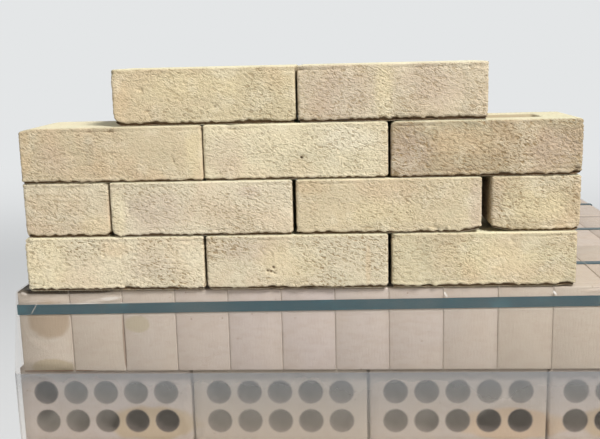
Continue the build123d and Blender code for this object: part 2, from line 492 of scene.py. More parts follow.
marks = {
    # x, z, width and depth
    "course_1_left": [
        (-24, 22, 2.2, 1.6), (-19, 17, 2.0, 1.6), (-13, 11, 2.2, 1.6), (15, -29, 4, 2.4), (11, -27, 3, 1.6),
        (-104, 30, 4, 2.0),
    ],
    "course_1_middle": [
        (-35, -10, 2.0, 2.6), (-31, -11, 2.1, 2.6), (-28, -6, 2.0, 2.9), (-27, -13, 1.8, 2.2),
        (-30, -32, 5, 3.4), (-13, -32, 5, 3.4), (14, -32, 4, 2.6),
    ],
    "course_1_right": [
        (-49, 19, 3, 1.4), (32, 23, 3.5, 1.8), (-64, -30, 5, 2.8), (97, -33, 9, 3.6), (-106, 29, 4, 3.0),
    ],
    "course_2_left_header": [(-48, -29, 4, 2.8), (51, -31, 5, 3.6), (48, 30, 4, 1.6)],
    "course_2_left": [
        (24, -32, 5, 2.6), (-106, -31, 5, 3.0), (-104, 29, 3, 1.4), (-86, 8, 1.8, 1.5), (-85, 3, 1.8, 1.7),
        (-85, -3, 1.8, 1.4),
    ],
    "course_2_right": [
        (52, -25, 3, 1.8), (57, -28, 3, 2.2), (64, -29, 4, 1.8), (-69, -31, 3, 2.4), (-104, -31, 4, 2.0),
    ],
    "course_2_right_header": [(-14, -30, 4, 1.6), (29, -3, 2.4, 1.6), (49, -30, 5, 2.0)],
    "course_3_left": [
        (-90, 6, 2.6, 1.4), (-45, 0, 3.4, 1.4), (-40, 0, 3, 1.0), (74, -9, 2.2, 1.8), (-21, 31, 4, 1.6),
        (3, 30, 4, 1.4), (-24, 28, 2.6, 1.5), (0, 27, 3.0, 1.6), (-56, 26, 3, 1.2),
    ],
    "course_3_middle": [(-74, 32, 7, 2.4), (7, -7, 1.9, 3.6), (-59, -31, 3, 1.6)],
    "course_3_right": [(102, -29, 6, 3.2), (-3, 32, 5, 1.6), (-104, -30, 5, 2.4)],
    "course_4_left": [
        (-104, -31, 5, 3.0), (-60, -31, 5, 3.0), (-62, -23, 3, 1.8), (-66, -16, 2.4, 1.4),
        (-71, 9, 2.6, 2.0), (13, -12, 2.2, 1.8), (106, -31, 6, 3.2), (-106, 29, 5, 2.0),
    ],
    "course_4_right": [
        (6, -32, 6, 3.8), (18, -31, 4, 2.6), (43, -31, 7, 3.8), (-54, -32, 5, 2.6), (84, -33, 9, 2.6),
        (-105, 29, 5, 2.2), (-60, -32, 4, 2.4),
    ],
}
small_mark = 2.5
mauve = colour(190, 168, 152)
straw = colour(226, 210, 168)
orange = colour(212, 184, 146)
pale = colour(232, 224, 202)
grey = colour(182, 168, 142)
stains = {
    # colour, x, z, half width, half height and share
    "course_1_left": [
        (straw, -85, 3, 30, 33, 0.55), (orange, 2, 18, 16, 10, 0.55), (mauve, 44, -4, 28, 18, 0.40),
    ],
    "course_1_middle": [
        (mauve, -62, 16, 28, 15, 0.45), (straw, -6, 2, 34, 24, 0.50), (orange, 84, -2, 3, 30, 0.60),
    ],
    "course_1_right": [
        (orange, -15, -14, 10, 13, 0.50), (straw, 10, 5, 60, 20, 0.40), (grey, 50, 20, 34, 10, 0.45),
    ],
    "course_2_left_header": [(orange, -20, 8, 31, 15, 0.30), (straw, 34, -18, 18, 14, 0.45)],
    "course_2_left": [
        (mauve, -52, -3, 36, 24, 0.55), (straw, -98, -6, 9, 30, 0.60), (mauve, 58, 19, 12, 7, 0.50),
    ],
    "course_2_right": [
        (orange, -90, 24, 20, 8, 0.50), (mauve, 101, 3, 8, 32, 0.60), (straw, -10, -9, 45, 16, 0.50),
    ],
    "course_2_right_header": [(straw, 4, -2, 34, 18, 0.55), (mauve, -46, 4, 8, 26, 0.35)],
    "course_3_left": [
        (orange, -101, 2, 7, 29, 0.60), (grey, -24, 8, 5, 18, 0.60), (orange, -4, -16, 16, 10, 0.50),
        (straw, 98, 2, 9, 31, 0.60), (mauve, -68, -4, 22, 17, 0.30),
    ],
    "course_3_middle": [
        (mauve, -82, -4, 22, 22, 0.35), (pale, 61, 14, 30, 14, 0.55), (orange, 5, -21, 16, 12, 0.35),
    ],
    "course_3_right": [
        (mauve, -88, -3, 24, 28, 0.60), (orange, -19, 8, 38, 15, 0.55), (mauve, 75, -3, 30, 24, 0.55),
    ],
    "course_4_left": [
        (orange, -96, 1, 10, 29, 0.45), (straw, -16, 12, 50, 15, 0.55), (orange, 84, 18, 13, 12, 0.35),
    ],
    "course_4_right": [
        (straw, -9, 0, 10, 34, 0.65), (mauve, -62, 0, 34, 26, 0.50), (mauve, 44, 6, 36, 22, 0.45),
    ],
}


def mark_depth(name, point):
    """How deep the marks of one brick go at a point near its front face, and how dark they are painted, as
    dirt and as painted shade in them.
    """
    depth = dirt_and_shade_here = 0.0
    for x, z, width, deep in marks[name]:
        away = math.hypot(point.x - x * MM, point.z - z * MM) / (width * MM)
        here = deep * math.exp(-(away * away) * 1.5)
        depth += here * MM
        dirt_and_shade_here += here * (1.1 if width < small_mark else 0.45)
    return depth, dirt_and_shade_here


# %% [markdown]
# The frog is the pressed hollow in one bed face. Only one brick lies frog up, but all have
# it, as the imported model says. Its sides slope, so the net is simply pushed down by a depth
# that grows over the width of the slope. The net is fine on the faces that are seen from
# the front and coarse from front to back, which halves the count of faces. How much is broken
# away at each point is kept as an attribute, with the dirt and painted shade of chips and
# grooves, for the finish to darken. So are how far each face points up, for a painted
# highlight, and how deep the frog is, for a painted shade.

# %% One creased brick
panel_width = 102.5 * MM
panel_height = 65.0 * MM
panel_rounding = 2.0 * MM
end_radius = 3.4 * MM
fine_net = 1.45 * MM
coarse_net = 4.5 * MM
bed_creases = 0.12
most_raised = 0.45 * MM
frog_half = Vector((68.5, 25.0)) * MM
frog_depth = 12.0 * MM
frog_slope = 7.0 * MM
frog_up_brick = "course_3_right"


def frog_at(along, across):
    """Depth of the frog at a place on the bed face."""
    inside = min(frog_half.x - abs(along), frog_half.y - abs(across))
    share = clamp(inside / frog_slope)
    return frog_depth * share * share * (3 - 2 * share)


def skin(name, point, half, shift, on_bed):
    """How far out the skin lies, how much of it is broken off, and how dark it is painted there, as dirt
    and painted shade.
    """
    amount = creases(point, shift) * crease_depth * (bed_creases if on_bed else fold_strength[name])
    if on_bed:
        return amount, 0.0, 0.0
    limit = broken_limit(name, point, shift)
    rise, groove = lip(point, half, shift, limit)
    lost = clamp((limit - point.z - half.z) / break_ramp + 0.5) * undercut_depth
    # the broken lower edge and the groove are painted dark: dirt, and painted shade in the undercut and the
    # groove
    return amount + rise * lip_height, lost, lost / MM + groove * groove_shade


def creased_brick(name, size, seed):
    """A brick round the origin with its front towards -Y, with skin, broken edges and frog."""
    half = size / 2
    shape = soft_block(size, panel_rounding, 3, (fine_net, coarse_net, fine_net))
    dirt_and_shade = shape.verts.layers.float.new("dirt_and_shade")
    upward = shape.verts.layers.float.new("upward")
    frog = shape.verts.layers.float.new("frog")
    shape.normal_update()
    shift = Vector((seed * 3.1, seed * 1.7, seed * 2.3))
    header = size.y > size.x
    frog_side = 1.0 if name == frog_up_brick else -1.0
    moves = []
    for vert in shape.verts:
        point = vert.co.copy()
        corner = Vector((math.copysign(9.0, point.x), 0.0, math.copysign(5.0, point.z))) + shift
        radius = waver(corner, 3.6, 3.0) * MM
        point.x, point.z = rounder(point.x, point.z, half.x, half.z, radius)
        point.x, point.y = rounder(point.x, point.y, half.x, half.y, end_radius)
        amount, lost, dirt_and_shade_here = skin(name, point, half, shift, abs(vert.normal.z) > 0.95)
        if point.y < -half.y + 2 * panel_rounding:
            mark, mark_dirt_and_shade = mark_depth(name, point)
            lost += mark
            dirt_and_shade_here += mark_dirt_and_shade
        outward = Vector((vert.normal.x, vert.normal.y, vert.normal.z * 0.3))
        point += vert.normal * min(amount, most_raised) - outward * lost
        point = eased(name, point, half)
        hollow = 0.0
        if vert.co.z * frog_side > half.z - 1.0 * MM:
            hollow = frog_at(*((vert.co.y, vert.co.x) if header else (vert.co.x, vert.co.y)))
            point.z -= frog_side * hollow
        vert[dirt_and_shade] = dirt_and_shade_here
        vert[upward] = max(vert.normal.z, 0.0)
        vert[frog] = hollow / frog_depth
        moves.append((vert, point))
    for vert, point in moves:
        vert.co = point
    return shape


# %% [markdown]
# Fired clay is never one colour. Over a pale buff lie wide clouds of orange-pink and
# greenish grey, then the brick's own stains, a scatter of dark grains, and a paler bloom of
# sand. The valleys of the creases are painted darker, with dark sand and painted shade, so the
# creases show even in flat light. Faces that point up are painted paler, a painted highlight,
# and the frog's hollow darker, a painted shade. Where the edge is broken away, in chips and in
# the groove beside each lip, the clay is painted dark: dirt, and painted shade in the hollows.
# The finest grain is bump.

# %% Finish of a panel brick
fold_lean = math.radians(-22.0)
stain_share = 0.7


def panel_finish(name, middle, base, warm, cool, seed):
    material, wire = new_material("finish_" + name)
    place = object_place(wire)
    space = pattern_space(wire, shift=(seed * 1.3, seed * 0.7, seed * 2.1))
    turned = wire.node("Mapping", inputs={"Vector": space, "Rotation": (0.0, fold_lean, 0.0)})
    slanted = wire.node("Mapping", inputs={"Vector": turned, "Scale": (0.85, 0.85, 1.7)})
    folds = cloud(slanted, 250.0, 3.0, 0.9)
    grain = cloud(space, 800.0, 2.0)
    rough = patches(space, 16.0, 0.30, 0.60, 2.0) * 0.7 + 0.4
    # painted shade, with some dark sand: the valleys of the creases are coated darker
    valley_sand_and_shade = step(folds, 0.50, 0.34) * rough * (0.55 * fold_strength[name])
    upward = step(kept(wire, "upward"), 0.25, 0.85)
    tone = coated(base, [
        (patches(space, 13.0, 0.44, 0.68, 4.0, 0.8) * warm, 208, 178, 146),
        (patches(space, 17.0, 0.50, 0.72, 3.0, 0.5) * cool, 184, 176, 148),
    ])
    for stain, x, z, *halves, share in stains[name]:
        here = blot(place, x + middle.x / MM, z + middle.z / MM, *halves, edge=0.5, rough=1.0)
        tone = mix_colour(here * (share * stain_share), tone, stain)
    tone = coated(tone, [
        (patches(space, 42.0, 0.48, 0.72, 4.0) * 0.35, 226, 216, 190),
        (valley_sand_and_shade, 154, 132, 98),
        (step(grain, 0.55, 0.75) * 0.35, 170, 148, 112),
        (patches(space, 330.0, 0.68, 0.76, 1.0) * 0.5, 120, 98, 70),
        # painted highlight: faces that point up are painted paler
        (upward * 0.45, 222, 222, 190),
        # painted shade: the frog's hollow is painted darker
        (step(kept(wire, "frog"), 0.0, 0.10) * 0.8, 150, 134, 108),
        # dirt, and painted shade in the undercuts, chips and grooves: broken places are painted dark
        (step(kept(wire, "dirt_and_shade"), 0.6, 2.4) * 0.9, 92, 66, 40),
    ])
    relief = bump((folds * rough + grain * 0.25) * (1.0 - upward * 0.8), 1.0, 0.0030)
    return close_material(material, wire, tone, 0.93, {"Normal": relief, "Specular IOR Level": 0.2})


# %% [markdown]
# The panel is laid dry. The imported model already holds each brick's exact place, so the
# script reads it from the node: its lowest and highest corners give the middle, and the
# known small turn of the brick gives the rest. Fired bricks differ in length by a few
# millimetres, so the length comes from the node's box too, less what the turn adds to it.

# %% Lay the panel
panel_turn = 0.3
panel_bricks = {
    # turn in degrees, base colour, share of pink and share of green
    "course_1_left": (0.1, colour(220, 207, 178), 0.30, 0.25),
    "course_1_middle": (-0.1, colour(211, 198, 170), 0.30, 0.35),
    "course_1_right": (0.1, colour(206, 193, 160), 0.35, 0.35),
    "course_2_left_header": (-0.3, colour(209, 195, 167), 0.45, 0.25),
    "course_2_left": (0.2, colour(215, 202, 175), 0.30, 0.30),
    "course_2_right": (-0.2, colour(205, 189, 157), 0.30, 0.35),
    "course_2_right_header": (0.5, colour(196, 180, 148), 0.40, 0.20),
    "course_3_left": (0.2, colour(203, 186, 154), 0.45, 0.35),
    "course_3_middle": (-0.1, colour(218, 205, 173), 0.25, 0.30),
    "course_3_right": (0.2, colour(176, 159, 130), 0.35, 0.45),
    "course_4_left": (0.3, colour(204, 189, 155), 0.28, 0.40),
    "course_4_right": (-0.3, colour(202, 187, 160), 0.35, 0.25),
}
seed_step = 1.37


def lay_panel_brick(number, name, turn, base, warm, cool):
    low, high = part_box(name)
    middle = (low + high) / 2
    angle = math.radians(turn + panel_turn)
    header = "header" in name
    box_length = high.y - low.y if header else high.x - low.x
    length = (box_length - panel_width * abs(math.sin(angle))) / math.cos(angle)
    size = Vector((panel_width, length, panel_height) if header else (length, panel_width, panel_height))
    shape = creased_brick(name, size, number * seed_step)
    place = Matrix.Translation(middle) @ Matrix.Rotation(angle, 4, "Z")
    bmesh.ops.transform(shape, matrix=place, verts=shape.verts[:])
    finish = panel_finish(name, middle, base, warm, cool, number)
    return add_piece("brick_" + name, shape, finish, name, slot="panel_brick")


triangles = 0
for number, (name, finish_values) in enumerate(panel_bricks.items(), 1):
    brick = lay_panel_brick(number, name, *finish_values)
    triangles += 2 * len(brick.data.polygons)
print(len(panel_bricks), "panel bricks,", triangles, "triangles")

# %% [markdown]
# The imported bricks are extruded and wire-cut: plain, sandy and true, with ten round holes
# from bed face to bed face. A Boolean modifier could cut the holes, but it leaves long slivers.
# Here one square cell with a round hole is made by pulling a circle out to a square, ten cells
# are welded into a bed face, and the face is drawn down into a half brick and mirrored.

# %% One perforated brick
hole_pitch = 38.0 * MM
hole_radius = 14.0 * MM
hole_sides = 16
hole_bevel = 1.0 * MM
hole_halo = 3.0 * MM
hole_columns = 5
hole_rows = 2
packed_size = Vector((215.0, 102.5, 64.0)) * MM
packed_rounding = 1.6 * MM
weld = 0.01 * MM


def drawn_on(shape, edges, near, how_near, move):
    """Extrude a ring of edges, move its new points, and return its new edges."""
    grown = bmesh.ops.extrude_edge_only(shape, edges=edges)["geom"]
    for vert in verts_in(grown):
        vert.co = move(vert.co)
        vert[near] = how_near
    return edges_in(grown)


def hole_cell(shape, x, y, near):
    """One hole pitch of bed face, with a round hole through it, down to half the brick."""
    before = set(shape.verts)
    mouth_radius = hole_radius + hole_bevel
    halo_share = (hole_radius + hole_halo) / mouth_radius
    bore_share = hole_radius / mouth_radius
    circle = bmesh.ops.create_circle(shape, radius=mouth_radius, segments=hole_sides)["verts"]
    rim = list({edge for vert in circle for edge in vert.link_edges})
    for vert in circle:
        vert[near] = 1.0
    halo = drawn_on(shape, rim, near, 0.0, lambda co: co * halo_share)
    drawn_on(shape, halo, near, 0.0, lambda co: co * (hole_pitch / 2 / max(abs(co.x), abs(co.y))))
    mouth = drawn_on(shape, rim, near, 2.0,
                     lambda co: Vector((co.x * bore_share, co.y * bore_share, -hole_bevel)))
    drawn_on(shape, mouth, near, 2.0, lambda co: Vector((co.x, co.y, -packed_size.z / 2)))
    new = [vert for vert in shape.verts if vert not in before]
    bmesh.ops.translate(shape, verts=new, vec=(x, y, 0.0))


def in_row(count, pitch, index):
    """The place of one of a row of things, from the middle of the row."""
    return (index - (count - 1) / 2) * pitch


def perforated_brick():
    """A brick round the origin, along X, with its bed faces up and down."""
    shape = bmesh.new()
    near = shape.verts.layers.float.new("near_hole")
    for column in range(hole_columns):
        for row in range(hole_rows):
            x = in_row(hole_columns, hole_pitch, column)
            hole_cell(shape, x, in_row(hole_rows, hole_pitch, row), near)
    bmesh.ops.remove_doubles(shape, verts=shape.verts[:], dist=weld)
    margin = [edge for edge in shape.edges
              if edge.is_boundary and all(abs(vert.co.z) < 0.1 * MM for vert in edge.verts)]
    reach = (hole_columns * hole_pitch / 2, hole_rows * hole_pitch / 2)
    half = packed_size / 2
    rings = [
        (half.x - packed_rounding, half.y - packed_rounding, 0.0),
        (half.x, half.y, -packed_rounding),
        (half.x, half.y, -half.z),
    ]
    for wide, high, level in rings:
        shares = (wide / reach[0], high / reach[1])
        margin = drawn_on(shape, margin, near, 0.0,
                          lambda co: Vector((co.x * shares[0], co.y * shares[1], level)))
        reach = (wide, high)
    bmesh.ops.translate(shape, verts=shape.verts[:], vec=(0.0, 0.0, half.z))
    everything = shape.verts[:] + shape.edges[:] + shape.faces[:]
    bmesh.ops.mirror(shape, geom=everything, axis="Z", merge_dist=weld)
    bmesh.ops.recalc_face_normals(shape, faces=shape.faces[:])
    return shape


def plain_brick():
    """The same brick where its bed faces don't show."""
    shape = soft_block(packed_size, packed_rounding, 2)
    shape.verts.layers.float.new("near_hole")
    return shape


holed_mesh = as_mesh(perforated_brick(), "perforated_brick")
plain_mesh = as_mesh(plain_brick(), "plain_brick")
core_mesh = as_mesh(soft_block((1.0, 1.0, 1.0), 0.001, 1), "core")
print("perforated brick", len(holed_mesh.polygons), "faces, plain", len(plain_mesh.polygons))

# %% [markdown]
# Behind the film the bricks look pinker and greyer than those of the panel. Each brick has
# its own tone, kept as an attribute of its points, since all bricks of a layer share a mesh.
# Round each hole the face is painted a little darker, a painted soft shade: the film scatters
# light, and this soft rim gives the blur that a see-through surface alone can't. The bores are
# painted dark, a painted shade for the deep holes. A few damp blots are listed, and one painted
# shadow under the panel on the top edge of the pack.

# %% Finish of the imported bricks
front_zone = -0.30
damp_and_shadow_share = 0.95
damp_and_shadow_blots = [
    # x, height, half width and half height on the front, and the colour there: damp clay, and in one blot a
    # painted shadow
    (-388, 1122, 26, 24, colour(156, 138, 117)),
    (-388, 1061, 26, 11, colour(166, 152, 128)),
    (-280, 1116, 16, 11, colour(170, 158, 136)),
    (-297, 1094, 1.6, 36, colour(128, 104, 86)),
    (-380, 1056, 46, 1.4, colour(128, 100, 80)),
    # painted shadow: the shadow of the panel's lowest left brick on the top edge of the pack
    (-366, 1157.5, 62, 3.2, colour(58, 50, 40)),
    (-271, 982, 60, 22, colour(178, 158, 130)),
    (172, 980, 70, 20, colour(186, 162, 136)),
    (292, 982, 34, 22, colour(176, 156, 130)),
]


def share_in_front(place):
    """1 on the front of the pack, 0 elsewhere."""
    return step(axis_of(place, "Y"), front_zone, front_zone - 0.02)


def pits_in(place, space):
    """Scattered pits, laid out on the front of the pack, and only in some patches of it."""
    across = axis_of(place, "X")
    height = axis_of(place, "Z")
    face = place.node("CombineXYZ", inputs={"X": across, "Y": height})
    settings = {"voronoi_dimensions": "2D"}
    pit = face.node("TexVoronoi", settings, {"Vector": face, "Scale": 30.0}, "Distance")
    return step(pit, 0.040, 0.022) * patches(space, 21.0, 0.52, 0.58, 1.0)


def packed_finish():
    material, wire = new_material("packed_brick")
    space = pattern_space(wire)
    place = object_place(wire)
    front = share_in_front(place)
    near_hole = kept(wire, "near_hole")
    mottled = pattern_space(wire, scale=(0.5, 0.5, 1.0))
    base = mix_colour(kept(wire, "tone"), colour(177, 165, 150), colour(184, 171, 164))
    base = coated(base, [
        (patches(space, 12.0, 0.35, 0.70, 4.0, 0.5) * 0.35, 184, 168, 150),
        (patches(space, 360.0, 0.70, 0.78, 1.0) * 0.35, 128, 106, 86),
        (pits_in(place, space) * front * 0.6, 118, 96, 84),
        (patches(mottled, 150.0, 0.42, 0.66, 4.0) * 0.22, 166, 148, 132),
    ])
    for *ellipse, damp_and_shadow_colour in damp_and_shadow_blots:
        base = mix_colour(blot(place, *ellipse, edge=0.15) * front * damp_and_shadow_share, base, damp_and_shadow_colour)
    base = coated(base, [
        # painted shade: a soft dark rim round each hole, and the bores painted dark
        (step(near_hole, 0.0, 1.1) * 0.70, 92, 80, 74),
        (step(near_hole, 1.05, 1.5) * 0.92, 62, 55, 52),
    ])
    drag = cloud(pattern_space(wire, scale=(1.0, 1.0, 0.25)), 420.0, 3.0)
    relief = bump(drag + cloud(space, 1100.0, 2.0) * 0.4, 0.6, 0.0006)
    return close_material(material, wire, base, 0.92, {"Normal": relief, "Specular IOR Level": 0.25})


packed_material = packed_finish()

# %% [markdown]
# The pack is built as it is packed, layer on layer, and every second layer turns the bricks
# round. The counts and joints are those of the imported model, and each layer's height comes
# from its node. A layer is one mesh: copies of two bricks, each with its own tone, round plain
# cores. Some bricks stand a hair back, since no brick in a real pack is quite in line. In
# front the middle bricks of the top layer are the pinkest, and those near its ends are buff.

# %% Stack the layers
layer_count = 10
blade_count = 4
stretchers_per_row = 4
edge_bricks_per_blade = 13
rows_per_blade = 3
face_joint = 0.4 * MM
end_joint = 3.5 * MM
blade_joint = 1.0 * MM
edge_layer_setback = 9.8 * MM
most_inward = 0.7 * MM
pinkest_brick = 5.3
pink_reach = 4.4
core_tone = 0.5
face_pitch = packed_size.z + face_joint
end_pitch = packed_size.x + end_joint
blade_pitch = packed_size.x + blade_joint
pack_width = stretchers_per_row * end_pitch - end_joint
pack_depth = blade_count * blade_pitch - blade_joint
edge_layer_width = edge_bricks_per_blade * face_pitch - face_joint
edge_layer_middle = -pack_width / 2 + edge_layer_setback + edge_layer_width / 2
upright_front = Matrix.Rotation(math.radians(90.0), 4, "X")
upright_side = Matrix.Rotation(math.radians(90.0), 4, "Z") @ upright_front


def to_middle(blade):
    """Which way the middle of the pack lies: 1 from the front blade, -1 from the back one."""
    return (blade == 0) - (blade == blade_count - 1)


def add_copy(shape, mesh, place, tone_value):
    """Add a mesh to a shape at a place, with its tone on its points."""
    known = len(shape.verts)
    shape.from_mesh(mesh)
    shape.verts.ensure_lookup_table()
    tone = shape.verts.layers.float["tone"]
    new = shape.verts[known:]
    for vert in new:
        vert[tone] = tone_value
    bmesh.ops.transform(shape, matrix=place, verts=new)


def add_core(shape, middle, size):
    """Add a plain block in place of bricks that can't be seen."""
    add_copy(shape, core_mesh, Matrix.Translation(middle) @ Matrix.Diagonal((*size, 1.0)), core_tone)


def spread(number):
    """A repeatable value from 0 to 1 for the brick with that number."""
    return (number * 0.6180339) % 1.0


def edge_layer(shape, number, middle_z, whole):
    """Header faces to the front and back, perforated bed faces to the left and right."""
    last = edge_bricks_per_blade - 1
    for blade in range(blade_count):
        y = in_row(blade_count, blade_pitch, blade)
        with_bricks = whole or to_middle(blade) != 0
        for index in range(edge_bricks_per_blade):
            at_end = index in (0, last)
            if not (at_end or with_bricks):
                continue
            draw = spread(number * 97 + blade * 29 + index * 5)
            if whole and blade == 0:
                draw = draw * 0.25 + max(0.0, 0.75 - ((index - pinkest_brick) / pink_reach) ** 2)
            x = edge_layer_middle + in_row(edge_bricks_per_blade, face_pitch, index)
            inward = draw * most_inward * to_middle(blade)
            place = Matrix.Translation((x, y + inward, middle_z)) @ upright_side
            add_copy(shape, holed_mesh if at_end else plain_mesh, place, draw)
        if not with_bricks:
            size = ((last - 1) * face_pitch - face_joint, packed_size.x, packed_size.y)
            add_core(shape, (edge_layer_middle, y, middle_z), size)


def stretcher_layer(shape, number, middle_z):
    """Perforated bed faces to the front and back."""
    last = stretchers_per_row - 1
    for blade in range(blade_count):
        blade_y = in_row(blade_count, blade_pitch, blade)
        for row in range(rows_per_blade):
            y = blade_y + in_row(rows_per_blade, face_pitch, row)
            outside = (blade, row) in ((0, 0), (blade_count - 1, rows_per_blade - 1))
            for column in range(stretchers_per_row):
                if not (outside or column in (0, last)):
                    continue
                draw = spread(number * 53 + blade * 31 + row * 13 + column * 7)
                x = in_row(stretchers_per_row, end_pitch, column)
                place = Matrix.Translation((x, y, middle_z)) @ upright_front
                add_copy(shape, holed_mesh if outside else plain_mesh, place, draw)
        core_rows = rows_per_blade - abs(to_middle(blade))
        size = ((last - 1) * end_pitch - end_joint, core_rows * face_pitch - face_joint, packed_size.y)
        add_core(shape, (0.0, blade_y + face_pitch / 2 * to_middle(blade), middle_z), size)


pack_triangles = 0
for number in range(1, layer_count + 1):
    name = f"pack_layer_{number:02d}"
    low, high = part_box(name)
    layer = bmesh.new()
    layer.verts.layers.float.new("near_hole")
    layer.verts.layers.float.new("tone")
    if number % 2 == 0:
        edge_layer(layer, number, (low.z + high.z) / 2, number == layer_count)
    else:
        stretcher_layer(layer, number, (low.z + high.z) / 2)
    piece = add_piece("bricks_" + name, layer, packed_material, name, slot="packed_brick")
    pack_triangles += sum(len(face.vertices) - 2 for face in piece.data.polygons)
print(layer_count, "layers,", pack_triangles, "triangles")

# %% [markdown]
# The straps are flat bands of plastic, drawn so tight that they have no wave of their own.
# Their shape is right as packed, so only the finish is new: a deep green-grey with fine
# lengthwise drawing lines and a low sheen.

# %% Finish of the straps
def strap_finish():
    material, wire = new_material("strap")
    lines = cloud(pattern_space(wire, scale=(0.02, 0.02, 1.0)), 900.0, 2.0)
    scuffs = patches(pattern_space(wire), 40.0, 0.55, 0.72, 3.0)
    tone = mix_colour(scuffs * 0.35, colour(19, 66, 77), colour(46, 102, 112))
    relief = bump(lines, 0.25, 0.0003)
    return close_material(material, wire, tone, scuffs * 0.15 + 0.42, {"Normal": relief})


strap_material = strap_finish()
for name in ["strap_round_top_layer"] + [f"blade_strap_{n}" for n in range(1, blade_count + 1)]:
    nodes[name].data.materials.clear()
    nodes[name].data.materials.append(strap_material)

# %% [markdown]
# The hood is one thin sheet, stretched over the pack and let go. It lies tight on the layers
# that stand out and bridges those that are set back, so it shows the first clearly and the
# second through a milky haze. A cloth simulation could pull it on, but a stretched film has
# almost no folds, and its look is all in where it touches. So it is a box without a floor,
# cut into a net, and each point is pulled in to what it touches.
# The layers take turns: what stands out on the front is set back on the two ends. There the
# film also leans in to the top layer, which is narrower than the others.

# %% Shape of the film
film_low, film_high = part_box("film_hood")
film_net = 9.0 * MM
film_rounding = 4.0 * MM
film_thin = 0.2 * MM
over_strap = 2.0 * MM
strap_reach = 9.0 * MM
slack_reach = 30.0 * MM
least_slack = 0.3 * MM
more_slack = 0.9 * MM
end_sag = 3.0
layer_height = packed_size.y
pack_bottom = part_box("pack_layer_01")[0].z
pack_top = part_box("pack_layer_10")[1].z
shoulder = pack_top - layer_height
edge_layer_ends = (edge_layer_middle - edge_layer_width / 2, edge_layer_middle + edge_layer_width / 2)
strap_boxes = [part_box(f"blade_strap_{n}") for n in range(1, blade_count + 1)]
strap_lines = [(low.y + high.y) / 2 for low, high in strap_boxes]


def recess_share(z, on_end):
    """0 where the film lies on a layer that stands out, 1 in the middle of one set back."""
    layer = (z - pack_bottom) / layer_height
    top = layer_count - 1 if on_end else layer_count
    if layer < 0 or layer > top or int(layer) % 2 != int(on_end):
        return 0.0
    return math.sin(math.pi * (layer % 1.0))


def clear_of_straps(y):
    """0 over an upright strap, 1 a hand's breadth away from it."""
    away = min(abs(y - line) for line in strap_lines)
    return clamp((away - strap_reach) / slack_reach)


def lean_in(point, half_width):
    """Above the shoulder the two ends lean in to the narrower top layer, as the straps do."""
    share = clamp((point.z - shoulder) / layer_height)
    end = edge_layer_ends[1] + over_strap if point.x > 0 else over_strap - edge_layer_ends[0]
    point.x *= 1.0 - share * (1.0 - end / half_width)


def pulled_in(point, flat):
    """How far a side of the film moves out at a point: its creases, less its sag."""
    on_end = abs(flat.x) > abs(flat.y)
    along = point.x + point.y
    crease = noise.noise(Vector((along * 26, point.z * 3.5, 1.0))) * 0.5
    crease += noise.noise(Vector((along * 60, point.z * 9, 5.0))) * 0.15
    share = recess_share(point.z, on_end)
    sag = share * waver(Vector((along * 7, point.z * 7, 9.0)), 1.6, 1.4) * MM
    if on_end:
        sag *= end_sag * clear_of_straps(point.y)
    return crease * (least_slack + share * more_slack) - sag


def film_sheet():
    """The hood as a box with no floor, its sides pulled in and creased."""
    size = film_high - film_low - Vector((film_thin, film_thin, film_thin)) * 2
    shape = soft_block(size, film_rounding, 2, (film_net, film_net, film_net))
    ground = film_rounding * 1.01 - size.z / 2
    under = [face for face in shape.faces if face.calc_center_median().z < ground]
    bmesh.ops.delete(shape, geom=under, context="FACES")
    bmesh.ops.translate(shape, verts=shape.verts[:], vec=(film_low + film_high) / 2)
    for vert in shape.verts:
        if vert.is_boundary:
            vert.co.z = film_low.z + film_thin
    shape.normal_update()
    for vert in shape.verts:
        flat = Vector((vert.normal.x, vert.normal.y, 0.0))
        lean_in(vert.co, size.x / 2)
        if flat.length >= 0.5:
            vert.co += flat.normalized() * pulled_in(vert.co, flat)
    return shape


# %% [markdown]
# The film's finish is mostly absence. Alpha sets how much of it shows: a little where it
# clings, much more where it stands off, and least in the wet-looking blots where it touches.
# White slivers are painted highlights: small tents where the film bridges an edge and catches
# the light. Towards the top of each set-back layer the film is painted greyer and darker, a
# painted shade under the layer that stands out above it.
# All of it comes from the object's own coordinates, so that it stays put in every view.

# %% Finish of the film
clear_blots = [
    # x, height, half width and half height on the front, and how much haze is lost there
    (-408, 1022, 26, 26, 0.35),
    (-271, 985, 48, 26, 0.75),
    (-330, 985, 34, 24, 0.20),
    (176, 985, 44, 26, 0.70),
    (110, 985, 34, 24, 0.20),
    (292, 985, 28, 25, 0.75),
    (250, 985, 22, 22, 0.30),
]
most_clear = 0.58
highlight_slivers = [
    # x, height, half length, half thickness, slope in degrees, and how white
    (-322, 1147.0, 25, 2.6, 8, 0.28),
    (-309, 1149.5, 11, 3.6, 0, 0.22),
    (-400, 1146.0, 14, 1.2, 0, 0.20),
    (-402, 1092, 16, 5, -35, 0.16),
    (92, 1150, 4, 1.3, -62, 0.55),
    (219, 1151, 4, 1.3, -50, 0.55),
    (-405, 1136.5, 8, 0.7, 58, 0.35),
    (-416, 1156, 4, 1.6, -20, 0.35),
    (310, 1155.5, 60, 1.6, 1, 0.30),
    (-340, 1142.9, 90, 0.7, 0.45, 0.35),
    (-40, 1130.2, 380, 0.8, 0.45, 0.18),
]
# how far below the top the flat strap's upper edge lies at the left and the right end, in mm
strap_below_top = (16.6, 10.0)
strap_width = 12.7
strap_middle = pack_top - (sum(strap_below_top) + strap_width) / 2 * MM
strap_slope = (strap_below_top[0] - strap_below_top[1]) * MM / pack_width
ridge_white = 0.15


